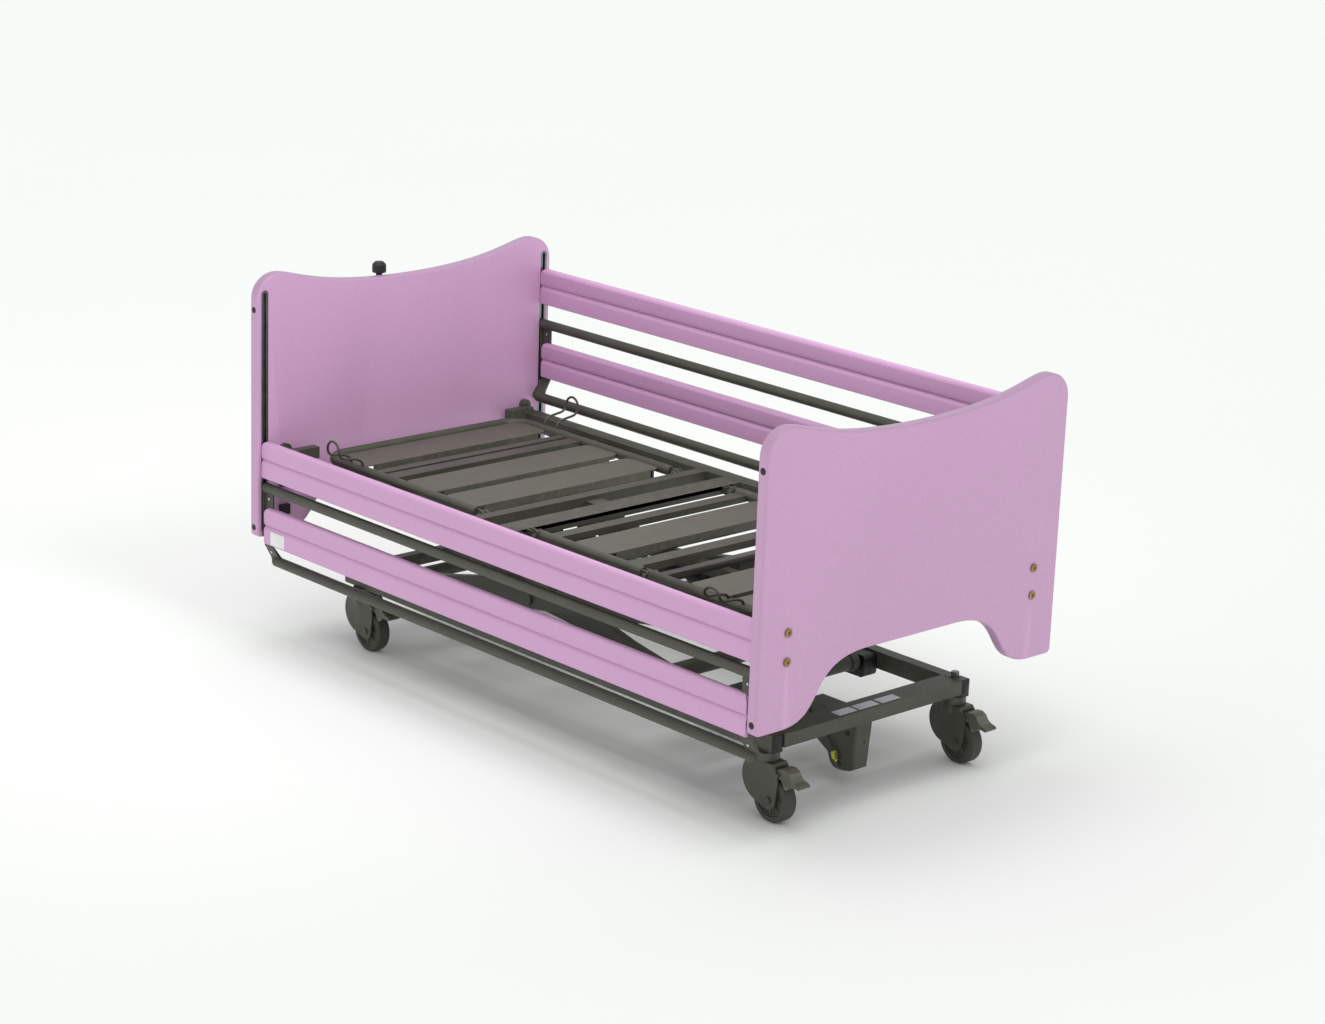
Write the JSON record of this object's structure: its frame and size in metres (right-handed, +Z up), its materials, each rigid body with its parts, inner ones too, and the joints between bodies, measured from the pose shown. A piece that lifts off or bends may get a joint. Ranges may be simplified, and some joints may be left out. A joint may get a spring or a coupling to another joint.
{
  "type": "adjustable hospital bed",
  "caption": "Adjustable children's nursing bed: castor base, scissor lift, four-section slatted deck, shaped end boards and sliding two-board side rails.",
  "frame": {"origin": "floor point under the middle of the bounding box", "axes": "+X from the head board to the foot board, +Y to the patient's left, +Z up"},
  "size_m": [1.7772, 0.9008, 0.886],
  "materials": {
    "panel_pink": "satin pink-lilac laminated panel",
    "frame_grey": "dark olive-grey textured powder coat",
    "slat_grey": "olive-grey powder-coated sheet",
    "black_plastic": "black moulded plastic",
    "zinc": "bright zinc plating",
    "brass": "yellow passivated screw heads",
    "alu": "natural anodised aluminium",
    "tyre": "dark grey castor tread",
    "castor_black": "black moulded castor housing"
  },
  "bodies": {
    "bed_base": {"base_frame": "frame_grey", "base_end_caps": "black_plastic", "castor_stems": "zinc", "lift_bearing_blocks": "black_plastic", "lift_drive": "black_plastic"},
    "lift_arm_a": {"lift_arm_inner": "frame_grey", "lift_arm_pins": "zinc", "lift_glides_upper": "black_plastic"},
    "lift_arm_b": {"lift_arm_outer": "frame_grey", "lift_glides_lower": "black_plastic"},
    "lift_rod": {"lift_drive_rod": "zinc"},
    "deck": {"deck_frame": "frame_grey", "lift_deck_pins": "zinc", "seat_hinge_pins": "zinc", "control_box": "black_plastic", "head_board": "panel_pink", "foot_board": "panel_pink", "board_tracks": "alu", "board_bolts": "brass", "board_edge_plugs": "black_plastic", "knob_bracket": "black_plastic", "back_drive": "black_plastic", "leg_drive": "black_plastic"},
    "hand_knob": {"pull_knob": "black_plastic"},
    "backrest": {"backrest_frame": "frame_grey", "backrest_slats": "slat_grey"},
    "thigh": {"thigh_frame": "frame_grey", "thigh_slat": "slat_grey", "knee_hinge_pins": "zinc"},
    "leg": {"leg_frame": "frame_grey", "leg_slats": "slat_grey", "leg_stop_bolts": "zinc"},
    "back_rod": {"back_drive_rod": "zinc"},
    "leg_rod": {"leg_drive_rod": "zinc"},
    "rail_right_upper": {"rail_right_upper_board": "panel_pink", "rail_right_upper_glides": "black_plastic"},
    "rail_right_lower": {"rail_right_lower_board": "panel_pink", "rail_right_frame": "frame_grey", "rail_right_lower_glides": "black_plastic"},
    "rail_left_upper": {"rail_left_upper_board": "panel_pink", "rail_left_upper_glides": "black_plastic"},
    "rail_left_lower": {"rail_left_lower_board": "panel_pink", "rail_left_frame": "frame_grey", "rail_left_lower_glides": "black_plastic"},
    "castor_foot_left": {"castor_fork_foot_left": "castor_black", "castor_pins_foot_left": "zinc"},
    "wheel_foot_left": {"castor_wheel_foot_left": "tyre"},
    "pedal_foot_left": {"brake_pedal_foot_left": "black_plastic"},
    "castor_foot_right": {"castor_fork_foot_right": "castor_black", "castor_pins_foot_right": "zinc"},
    "wheel_foot_right": {"castor_wheel_foot_right": "tyre"},
    "pedal_foot_right": {"brake_pedal_foot_right": "black_plastic"},
    "castor_head_left": {"castor_fork_head_left": "castor_black", "castor_pins_head_left": "zinc"},
    "wheel_head_left": {"castor_wheel_head_left": "tyre"},
    "pedal_head_left": {"brake_pedal_head_left": "black_plastic"},
    "castor_head_right": {"castor_fork_head_right": "castor_black", "castor_pins_head_right": "zinc"},
    "wheel_head_right": {"castor_wheel_head_right": "tyre"},
    "pedal_head_right": {"brake_pedal_head_right": "black_plastic"}
  },
  "joints": [
    {"name": "deck_lift", "type": "hinge", "parent": "bed_base", "child": "lift_arm_a", "pos_m": [0.5054, 0, 0.17], "axis": [0, 1, 0], "range_deg": [0, 19.09]},
    {"name": "sync_lift_cross", "type": "hinge", "parent": "lift_arm_a", "child": "lift_arm_b", "pos_m": [-0.0596, 0, 0.2575], "axis": [0, 1, 0], "range_deg": [-38.2, 0]},
    {"name": "sync_lift_level", "type": "hinge", "parent": "lift_arm_b", "child": "deck", "pos_m": [0.5054, 0, 0.345], "axis": [0, 1, 0], "range_deg": [0, 19.11]},
    {"name": "sync_lift_rod", "type": "slide", "parent": "bed_base", "child": "lift_rod", "axis": [-1, 0, 0], "range_m": [0, 0.0167]},
    {"name": "backrest_tilt", "type": "hinge", "parent": "deck", "child": "backrest", "pos_m": [-0.1696, 0, 0.4388], "axis": [0, 1, 0], "range_deg": [0, 70]},
    {"name": "sync_back_rod", "type": "slide", "parent": "deck", "child": "back_rod", "axis": [-1, 0, 0], "range_m": [0, 0.1516]},
    {"name": "knee_lift", "type": "hinge", "parent": "deck", "child": "thigh", "pos_m": [0.0234, 0, 0.4388], "axis": [0, -1, 0], "range_deg": [0, 35]},
    {"name": "sync_leg_fold", "type": "hinge", "parent": "thigh", "child": "leg", "pos_m": [0.3874, 0, 0.4388], "axis": [0, -1, 0], "range_deg": [-62.66, 0]},
    {"name": "sync_leg_rod", "type": "slide", "parent": "deck", "child": "leg_rod", "axis": [1, 0, 0], "range_m": [0, 0.0692]},
    {"name": "rail_right_slide", "type": "slide", "parent": "deck", "child": "rail_right_upper", "axis": [0, 0, 1], "range_m": [0, 0.318]},
    {"name": "sync_rail_right_lower", "type": "slide", "parent": "deck", "child": "rail_right_lower", "axis": [0, 0, 1], "range_m": [0, 0.29]},
    {"name": "rail_left_slide", "type": "slide", "parent": "deck", "child": "rail_left_upper", "axis": [0, 0, 1], "range_m": [-0.318, 0]},
    {"name": "sync_rail_left_lower", "type": "slide", "parent": "deck", "child": "rail_left_lower", "axis": [0, 0, 1], "range_m": [-0.29, 0]},
    {"name": "turn_hand_knob", "type": "hinge", "parent": "deck", "child": "hand_knob", "pos_m": [-0.8711, -0.058, 0.817], "axis": [0, 0, 1], "continuous": true},
    {"name": "swivel_foot_left", "type": "hinge", "parent": "bed_base", "child": "castor_foot_left", "pos_m": [0.7574, 0.287, 0.121], "axis": [0, 0, 1], "continuous": true},
    {"name": "wheel_foot_left", "type": "hinge", "parent": "castor_foot_left", "child": "wheel_foot_left", "pos_m": [0.7874, 0.287, 0.05], "axis": [0, 1, 0], "continuous": true},
    {"name": "toe_pedal_foot_left", "type": "hinge", "parent": "castor_foot_left", "child": "pedal_foot_left", "pos_m": [0.8104, 0.287, 0.112], "axis": [0, 1, 0], "range_deg": [-8, 7]},
    {"name": "swivel_foot_right", "type": "hinge", "parent": "bed_base", "child": "castor_foot_right", "pos_m": [0.7574, -0.287, 0.121], "axis": [0, 0, 1], "continuous": true},
    {"name": "wheel_foot_right", "type": "hinge", "parent": "castor_foot_right", "child": "wheel_foot_right", "pos_m": [0.7874, -0.287, 0.05], "axis": [0, 1, 0], "continuous": true},
    {"name": "toe_pedal_foot_right", "type": "hinge", "parent": "castor_foot_right", "child": "pedal_foot_right", "pos_m": [0.8104, -0.287, 0.112], "axis": [0, 1, 0], "range_deg": [-8, 7]},
    {"name": "swivel_head_left", "type": "hinge", "parent": "bed_base", "child": "castor_head_left", "pos_m": [-0.6156, 0.287, 0.121], "axis": [0, 0, 1], "continuous": true},
    {"name": "wheel_head_left", "type": "hinge", "parent": "castor_head_left", "child": "wheel_head_left", "pos_m": [-0.5856, 0.287, 0.05], "axis": [0, 1, 0], "continuous": true},
    {"name": "toe_pedal_head_left", "type": "hinge", "parent": "castor_head_left", "child": "pedal_head_left", "pos_m": [-0.5626, 0.287, 0.112], "axis": [0, 1, 0], "range_deg": [-8, 7]},
    {"name": "swivel_head_right", "type": "hinge", "parent": "bed_base", "child": "castor_head_right", "pos_m": [-0.6156, -0.287, 0.121], "axis": [0, 0, 1], "continuous": true},
    {"name": "wheel_head_right", "type": "hinge", "parent": "castor_head_right", "child": "wheel_head_right", "pos_m": [-0.5856, -0.287, 0.05], "axis": [0, 1, 0], "continuous": true},
    {"name": "toe_pedal_head_right", "type": "hinge", "parent": "castor_head_right", "child": "pedal_head_right", "pos_m": [-0.5626, -0.287, 0.112], "axis": [0, 1, 0], "range_deg": [-8, 7]}
  ],
  "couplings": [
    {"joint": "sync_lift_cross", "follows": "deck_lift", "ratio": -2},
    {"joint": "sync_lift_level", "follows": "deck_lift", "ratio": 1},
    {"joint": "sync_lift_rod", "follows": "deck_lift", "m_per_rad": 0.04977},
    {"joint": "sync_back_rod", "follows": "backrest_tilt", "m_per_rad": 0.124},
    {"joint": "sync_leg_fold", "follows": "knee_lift", "ratio": -1.79},
    {"joint": "sync_leg_rod", "follows": "knee_lift", "m_per_rad": 0.1132},
    {"joint": "sync_rail_right_lower", "follows": "rail_right_slide", "ratio": 0.9119},
    {"joint": "sync_rail_left_lower", "follows": "rail_left_slide", "ratio": 0.9119}
  ]
}
